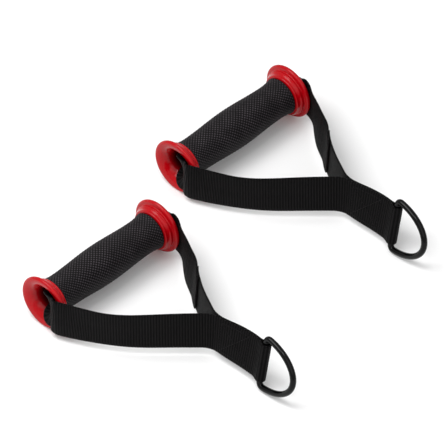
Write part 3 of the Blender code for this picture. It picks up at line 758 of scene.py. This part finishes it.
def weave_group():
    """Webbing weave on a UV map in metres: offset rows of rounded cells, as a mask and a height.

    Along the strap a cell is one rib; across it a cell is one warp yarn. Odd ribs are shifted by
    half a yarn. A cell's height is the product of two flattened half sine waves.
    """
    group, start, end = new_group(
        "webbing_weave",
        [("UV", "NodeSocketVector"), ("Rib Pitch", "NodeSocketFloat"),
         ("Yarn Pitch", "NodeSocketFloat")],
        [("Mask", "NodeSocketFloat"), ("Height", "NodeSocketFloat")],
    )
    parts = group.nodes.new("ShaderNodeSeparateXYZ")
    group.links.new(start.outputs["UV"], parts.inputs[0])
    rib = maths(group, "DIVIDE", parts.outputs[0], start.outputs["Rib Pitch"])
    row = maths(group, "FLOOR", rib)
    shift = maths(group, "MULTIPLY", row, 0.5)
    yarn = maths(group, "ADD", maths(group, "DIVIDE", parts.outputs[1], start.outputs["Yarn Pitch"]), shift)
    rib_wave = maths(group, "ABSOLUTE", maths(group, "SINE", maths(group, "MULTIPLY", rib, math.pi)))
    yarn_wave = maths(group, "ABSOLUTE", maths(group, "SINE", maths(group, "MULTIPLY", yarn, math.pi)))
    rib_crest = maths(group, "POWER", rib_wave, 0.7)
    yarn_crest = maths(group, "POWER", yarn_wave, 0.6)
    height = maths(group, "MULTIPLY", rib_crest, yarn_crest)
    group.links.new(height, end.inputs["Height"])
    group.links.new(height, end.inputs["Mask"])
    return group


GROUPS = {"grain": grain_group(), "weave": weave_group()}


def new_material(name):
    """A material with its Principled shader and tree."""
    material = bpy.data.materials.new(name)
    material.use_nodes = True
    tree = material.node_tree
    return material, tree, tree.nodes["Principled BSDF"]


def use_group(tree, key, vector, **values):
    """A group placed in a material, fed by a vector and numbers."""
    node = tree.nodes.new("ShaderNodeGroup")
    node.node_tree = GROUPS[key]
    tree.links.new(vector, node.inputs[0])
    for label, value in values.items():
        node.inputs[label.replace("_", " ")].default_value = value
    return node


def ramp(tree, mask, stops):
    """A colour ramp over a mask; stops are (place, colour)."""
    node = tree.nodes.new("ShaderNodeValToRGB")
    elements = node.color_ramp.elements
    while len(elements) < len(stops):
        elements.new(0.5)
    for element, (place, colour) in zip(elements, stops):
        element.position = place
        element.color = (*colour, 1.0)
    tree.links.new(mask, node.inputs[0])
    return node.outputs[0]


def bump(tree, shader, height, distance, strength=1.0):
    """A Bump node from a height to the shader's normal."""
    node = tree.nodes.new("ShaderNodeBump")
    node.inputs["Distance"].default_value = distance
    node.inputs["Strength"].default_value = strength
    tree.links.new(height, node.inputs["Height"])
    tree.links.new(node.outputs[0], shader.inputs["Normal"])


def coordinates(tree, kind):
    """The piece's Object or UV coordinates."""
    return tree.nodes.new("ShaderNodeTexCoord").outputs[kind]


def scaled(tree, mask, gain, start):
    """A mask times gain plus start."""
    return maths(tree, "ADD", maths(tree, "MULTIPLY", mask, gain), start)


def red_plastic():
    """Glossy moulded red plastic with faint flow marks, and painted shade darkening it down the funnel."""
    material, tree, shader = new_material("red_gloss_plastic")
    grain = use_group(tree, "grain", coordinates(tree, "Object"), Fine_Scale=500.0, Broad_Scale=35.0)
    colour = ramp(tree, grain.outputs["Mask"], [(0.35, (0.36, 0.0010, 0.0040)),
                                                (0.65, (0.42, 0.0014, 0.0052))])
    painted_funnel_shade = tree.nodes.new("ShaderNodeAttribute")
    painted_funnel_shade.attribute_name = "painted_funnel_shade"
    shaded = tree.nodes.new("ShaderNodeMix")
    shaded.data_type = "RGBA"
    tree.links.new(painted_funnel_shade.outputs["Fac"], shaded.inputs["Factor"])
    # A colour mix has its two colours in sockets 6 and 7 and its result in output 2.
    tree.links.new(colour, shaded.inputs[6])
    # The second colour is the painted shade deep in the funnel.
    shaded.inputs[7].default_value = (0.035, 0.0004, 0.0012, 1.0)
    tree.links.new(shaded.outputs[2], shader.inputs["Base Color"])
    tree.links.new(scaled(tree, grain.outputs["Mask"], 0.08, 0.07), shader.inputs["Roughness"])
    shader.inputs["Specular IOR Level"].default_value = 0.20
    bump(tree, shader, grain.outputs["Height"], 0.008 * MM, 0.5)
    return material


def grip_rubber():
    """Charcoal rubber: pale on the knurl's crests, partly rubbed wear and partly a painted highlight, matt
    between, with painted shade darkening the valleys.
    """
    material, tree, shader = new_material("knurled_rubber")
    grain = use_group(tree, "grain", coordinates(tree, "Object"), Fine_Scale=1400.0, Broad_Scale=90.0)
    crest = tree.nodes.new("ShaderNodeAttribute")
    crest.attribute_name = "crest"
    patchy = scaled(tree, grain.outputs["Mask"], 1.2, 0.35)
    wear_and_painted_light = maths(tree, "MULTIPLY", crest.outputs["Fac"], patchy, clamp=True)
    # Painted shade darkens the knurl's valleys; the pale crests are partly rubbed wear, partly a painted
    # highlight.
    colour = ramp(tree, wear_and_painted_light, [(0.10, (0.0010, 0.0008, 0.0010)), (0.45, (0.0055, 0.0045, 0.0053)),
                               (0.95, (0.062, 0.054, 0.060))])
    tree.links.new(colour, shader.inputs["Base Color"])
    tree.links.new(scaled(tree, grain.outputs["Mask"], 0.25, 0.42), shader.inputs["Roughness"])
    shader.inputs["Specular IOR Level"].default_value = 0.11
    bump(tree, shader, grain.outputs["Height"], 0.05 * MM, 0.6)
    return material


def webbing():
    """Black ribbed webbing: a painted highlight lightens the ribs' tops and painted shade keeps the gaps
    black.
    """
    material, tree, shader = new_material("black_webbing")
    weave = use_group(tree, "weave", coordinates(tree, "UV"), Rib_Pitch=RIB_PITCH, Yarn_Pitch=YARN_PITCH)
    grain = use_group(tree, "grain", coordinates(tree, "Object"), Fine_Scale=1800.0, Broad_Scale=45.0)
    mask = maths(tree, "ADD", maths(tree, "MULTIPLY", weave.outputs["Mask"], 0.75),
                 maths(tree, "MULTIPLY", grain.outputs["Mask"], 0.25))
    # Painted highlight on the ribs' tops and painted shade in the gaps, over random grain.
    colour = ramp(tree, mask, [(0.30, (0.0004, 0.0004, 0.0004)), (0.65, (0.0022, 0.0019, 0.0021)),
                               (0.88, (0.0150, 0.0134, 0.0142))])
    tree.links.new(colour, shader.inputs["Base Color"])
    tree.links.new(scaled(tree, grain.outputs["Mask"], 0.2, 0.45), shader.inputs["Roughness"])
    shader.inputs["Specular IOR Level"].default_value = 0.05
    shader.inputs["Sheen Weight"].default_value = 0.008
    shader.inputs["Sheen Roughness"].default_value = 0.4
    bump(tree, shader, weave.outputs["Height"], 0.30 * MM, 0.9)
    return material


def thread():
    """Black polyester thread, a little shinier than the webbing."""
    material, tree, shader = new_material("black_thread")
    grain = use_group(tree, "grain", coordinates(tree, "Object"), Fine_Scale=2500.0, Broad_Scale=300.0)
    colour = ramp(tree, grain.outputs["Mask"], [(0.3, (0.0012, 0.001, 0.0012)),
                                                (0.7, (0.006, 0.005, 0.006))])
    tree.links.new(colour, shader.inputs["Base Color"])
    shader.inputs["Roughness"].default_value = 0.42
    shader.inputs["Specular IOR Level"].default_value = 0.12
    bump(tree, shader, grain.outputs["Height"], 0.08 * MM, 0.7)
    return material


def ring_coating():
    """Gloss black coating on the ring's wire, a little uneven."""
    material, tree, shader = new_material("black_coated_wire")
    grain = use_group(tree, "grain", coordinates(tree, "Object"), Fine_Scale=600.0, Broad_Scale=80.0)
    colour = ramp(tree, grain.outputs["Mask"], [(0.3, (0.0006, 0.0006, 0.0007)),
                                                (0.7, (0.0022, 0.0022, 0.0024))])
    tree.links.new(colour, shader.inputs["Base Color"])
    tree.links.new(scaled(tree, grain.outputs["Mask"], 0.08, 0.03), shader.inputs["Roughness"])
    shader.inputs["Specular IOR Level"].default_value = 0.16
    bump(tree, shader, grain.outputs["Height"], 0.03 * MM, 0.5)
    return material


def tube_plastic():
    """Dull black plastic of the core tube."""
    material, tree, shader = new_material("dull_black_plastic")
    grain = use_group(tree, "grain", coordinates(tree, "Object"), Fine_Scale=900.0, Broad_Scale=120.0)
    colour = ramp(tree, grain.outputs["Mask"], [(0.3, (0.004, 0.0035, 0.004)),
                                                (0.7, (0.010, 0.009, 0.0095))])
    tree.links.new(colour, shader.inputs["Base Color"])
    shader.inputs["Roughness"].default_value = 0.55
    shader.inputs["Specular IOR Level"].default_value = 0.15
    bump(tree, shader, grain.outputs["Height"], 0.03 * MM, 0.5)
    return material


# ---------------------------------------------------------------- room

CAMERA_DISTANCE = 14.0
VIEW_AZIMUTH = math.radians(45.58)
VIEW_ELEVATION = math.radians(42.06)
VIEW_WIDTH = 0.3923
VIEW_RIGHT = 52.4 * MM
VIEW_UP = 71.1 * MM
VIEW_BEYOND = 66.0 * MM
YOKE_MIDDLE = 77.0 * MM
FLOOR_REACH = 6.0
FLOOR_DROP = 0.2 * MM
FLOOR_TONE = 0.90
SKY_STRENGTH = 0.68
# Each light: (name, place from the aim point, side, watts).
LIGHTS = [
    ("soft_key", (-0.55, 0.45, 1.3), 0.9, 14.0),
    ("glint", (-0.35, -0.2, 1.5), 0.22, 2.2),
    ("soft_fill", (-0.9, -1.1, 1.5), 1.8, 10.0),
]


def build_camera(near):
    """A long lens on the near handle's yoke, shifted to take in both handles; gives its aim point."""
    back = np.array((-math.sin(VIEW_AZIMUTH) * math.cos(VIEW_ELEVATION),
                     -math.cos(VIEW_AZIMUTH) * math.cos(VIEW_ELEVATION), math.sin(VIEW_ELEVATION)))
    right = np.array((math.cos(VIEW_AZIMUTH), -math.sin(VIEW_AZIMUTH), 0.0))
    up = np.cross(back, right)
    middle = near.origin + np.array((0.0, -YOKE_MIDDLE, near.axis_height))
    aim = middle + right * VIEW_RIGHT + up * VIEW_UP - back * VIEW_BEYOND
    data = bpy.data.cameras.new("camera")
    data.sensor_width = 36.0
    data.lens = data.sensor_width * CAMERA_DISTANCE / VIEW_WIDTH
    data.clip_end = 100.0
    camera = bpy.data.objects.new("camera", data)
    bpy.context.scene.collection.objects.link(camera)
    camera.location = Vector(aim + back * CAMERA_DISTANCE)
    camera.rotation_euler = (-Vector(back)).to_track_quat("-Z", "Y").to_euler()
    bpy.context.scene.camera = camera
    return aim


def add_light(name, place, aim, size, power):
    """A square area light turned to a point."""
    data = bpy.data.lights.new(name, "AREA")
    data.shape = "SQUARE"
    data.size = size
    data.energy = power
    light = bpy.data.objects.new(name, data)
    bpy.context.scene.collection.objects.link(light)
    light.location = place
    light.rotation_euler = (Vector(aim) - Vector(place)).to_track_quat("-Z", "Y").to_euler()


def build_room(aim):
    """A pale floor, a pale sky and three lights: a soft key, a small glint and a wide fill."""
    mesh = bpy.data.meshes.new("floor")
    corners = [(-1, -1), (1, -1), (1, 1), (-1, 1)]
    mesh.from_pydata([(x * FLOOR_REACH, y * FLOOR_REACH, 0.0) for x, y in corners], [], [(0, 1, 2, 3)])
    material, tree, shader = new_material("pale_floor")
    shader.inputs["Base Color"].default_value = (FLOOR_TONE, FLOOR_TONE, FLOOR_TONE, 1.0)
    shader.inputs["Roughness"].default_value = 0.9
    shader.inputs["Specular IOR Level"].default_value = 0.0
    mesh.materials.append(material)
    floor = bpy.data.objects.new("floor", mesh)
    bpy.context.scene.collection.objects.link(floor)
    floor.location.z = -FLOOR_DROP
    world = bpy.data.worlds.new("pale_sky")
    world.use_nodes = True
    sky = world.node_tree.nodes["Background"]
    sky.inputs["Color"].default_value = (1.0, 1.0, 1.0, 1.0)
    sky.inputs["Strength"].default_value = SKY_STRENGTH
    bpy.context.scene.world = world
    bpy.context.scene.view_settings.view_transform = "Standard"
    aim = np.array((aim[0], aim[1], 0.0))
    for name, place, size, power in LIGHTS:
        add_light(name, aim + np.array(place), aim, size, power)


# ---------------------------------------------------------------- making

FINISHES = {
    "red": red_plastic(), "rubber": grip_rubber(), "web": webbing(), "thread": thread(),
    "ring": ring_coating(), "tube": tube_plastic(),
}

near = Handle("near")
view_aim = build_camera(near)
build_room(view_aim)

for handle in (near, Handle("far")):
    tube = frame["nodes"][handle.name + "_core_tube"]
    tube.data.materials.clear()
    tube.data.materials.append(FINISHES["tube"])
    build_sleeve(handle, FINISHES["rubber"])
    for side in ("left", "right"):
        build_flange(handle, side, FINISHES["red"])
    build_straps(handle, FINISHES["web"])
    build_box_stitches(handle, FINISHES["thread"])
    build_lap_stitches(handle, FINISHES["thread"])
    build_ring(handle, FINISHES["ring"])
